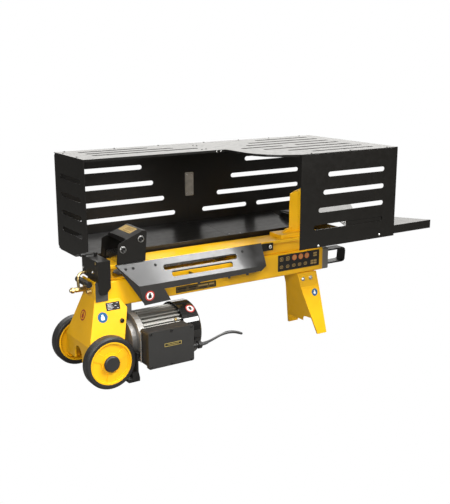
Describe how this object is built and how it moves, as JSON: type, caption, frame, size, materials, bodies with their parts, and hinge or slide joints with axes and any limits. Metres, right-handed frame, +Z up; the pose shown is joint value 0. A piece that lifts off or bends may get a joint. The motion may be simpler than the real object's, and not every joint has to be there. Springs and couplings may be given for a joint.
{
  "type": "log splitter",
  "caption": "Horizontal electric hydraulic log splitter with a sliding pusher, fixed wedge, slotted sheet-steel cage, motor and pump, transport wheels and outfeed table.",
  "frame": {"origin": "middle of the footprint on the ground, leaving the supply cord out", "axes": "+X along the beam from the wheels towards the wedge, +Y away from the side the user loads, +Z up"},
  "size_m": [1.203, 0.446, 0.62],
  "materials": {
    "yellow_paint": "satin powder coat",
    "black_paint": "semi-gloss powder coat",
    "cast_grey": "as cast",
    "steel": "machined",
    "aluminium": "as cast",
    "rubber": "matte",
    "tyre": "matte",
    "black_plastic": "matte",
    "brass": "bright"
  },
  "bodies": {
    "frame": {"beam_tank": "yellow_paint", "guide_rail": "yellow_paint", "left_leg": "yellow_paint", "right_leg": "yellow_paint", "splitting_wedge": "yellow_paint", "beam_end_cap": "cast_grey", "pump_body": "cast_grey", "pump_cover": "cast_grey", "lever_bracket": "cast_grey", "cylinder_barrel": "steel", "cylinder_head": "steel", "wheel_axle": "steel", "back_joint_plate": "steel", "motor_stator": "steel", "valve_block": "aluminium", "motor_housing": "aluminium", "hydraulic_pipe": "brass", "pipe_union": "brass", "bleed_screw": "brass", "valve_sleeve": "black_plastic", "motor_foot": "black_plastic", "terminal_box": "black_plastic", "terminal_lid": "black_plastic", "cable_gland": "black_plastic", "cord": "rubber", "cord_coil": "rubber", "plug": "rubber", "front_wing": "black_paint", "wing_bracket": "black_paint", "rear_tray_left": "black_paint", "rear_tray_right": "black_paint", "cage_left_end": "black_paint", "cage_back_left": "black_paint", "cage_back_right": "black_paint", "cage_top_left": "black_paint", "cage_top_right": "black_paint", "cage_front": "black_paint", "outfeed_table": "black_paint", "table_crossbar": "black_paint", "lift_handle": "black_paint", "lever_guard": "black_paint", "fan_cover": "black_paint"},
    "pusher": {"pusher_hood": "black_paint", "pusher_block": "steel", "drag_bar": "steel", "piston_rod": "steel"},
    "front_wheel_set": {"front_tyre": "tyre", "front_wheel": "yellow_paint", "front_hub_cap": "black_plastic"},
    "rear_wheel_set": {"rear_tyre": "tyre", "rear_wheel": "yellow_paint", "rear_hub_cap": "black_plastic"},
    "lever": {"control_lever": "steel", "lever_knob": "black_plastic"},
    "spool": {"valve_spool": "steel"},
    "rotor": {"rotor_shaft": "steel", "cooling_fan": "black_plastic", "drive_gear": "steel"},
    "idler_gear": {"driven_gear": "steel"},
    "start_switch": {"start_button": "black_plastic"}
  },
  "joints": [
    {"name": "pusher_slide", "type": "slide", "parent": "frame", "child": "pusher", "axis": [1, 0, 0], "range_m": [0, 0.345]},
    {"name": "front_wheel_spin", "type": "hinge", "parent": "frame", "child": "front_wheel_set", "pos_m": [-0.5265, -0.123, 0.075], "axis": [0, 1, 0], "continuous": true},
    {"name": "rear_wheel_spin", "type": "hinge", "parent": "frame", "child": "rear_wheel_set", "pos_m": [-0.5265, 0.103, 0.075], "axis": [0, 1, 0], "continuous": true},
    {"name": "lever_swing", "type": "hinge", "parent": "frame", "child": "lever", "pos_m": [-0.4965, 0.012, 0.353], "axis": [0, 0, 1], "range_deg": [0, 14], "stiffness_Nm_per_rad": 0.6},
    {"name": "spool_slide", "type": "slide", "parent": "frame", "child": "spool", "axis": [0, 1, 0], "range_m": [-0.0032, 0]},
    {"name": "rotor_spin", "type": "hinge", "parent": "frame", "child": "rotor", "pos_m": [-0.4265, -0.058, 0.11], "axis": [1, 0, 0], "continuous": true},
    {"name": "idler_gear_spin", "type": "hinge", "parent": "frame", "child": "idler_gear", "pos_m": [-0.4265, -0.058, 0.134], "axis": [1, 0, 0], "continuous": true},
    {"name": "start_button_press", "type": "slide", "parent": "frame", "child": "start_switch", "axis": [-1, 0, 0], "range_m": [0, 0.003], "stiffness_N_per_m": 300}
  ],
  "couplings": [
    {"joint": "spool_slide", "follows": "lever_swing", "m_per_rad": -0.012},
    {"joint": "idler_gear_spin", "follows": "rotor_spin", "ratio": -1}
  ]
}
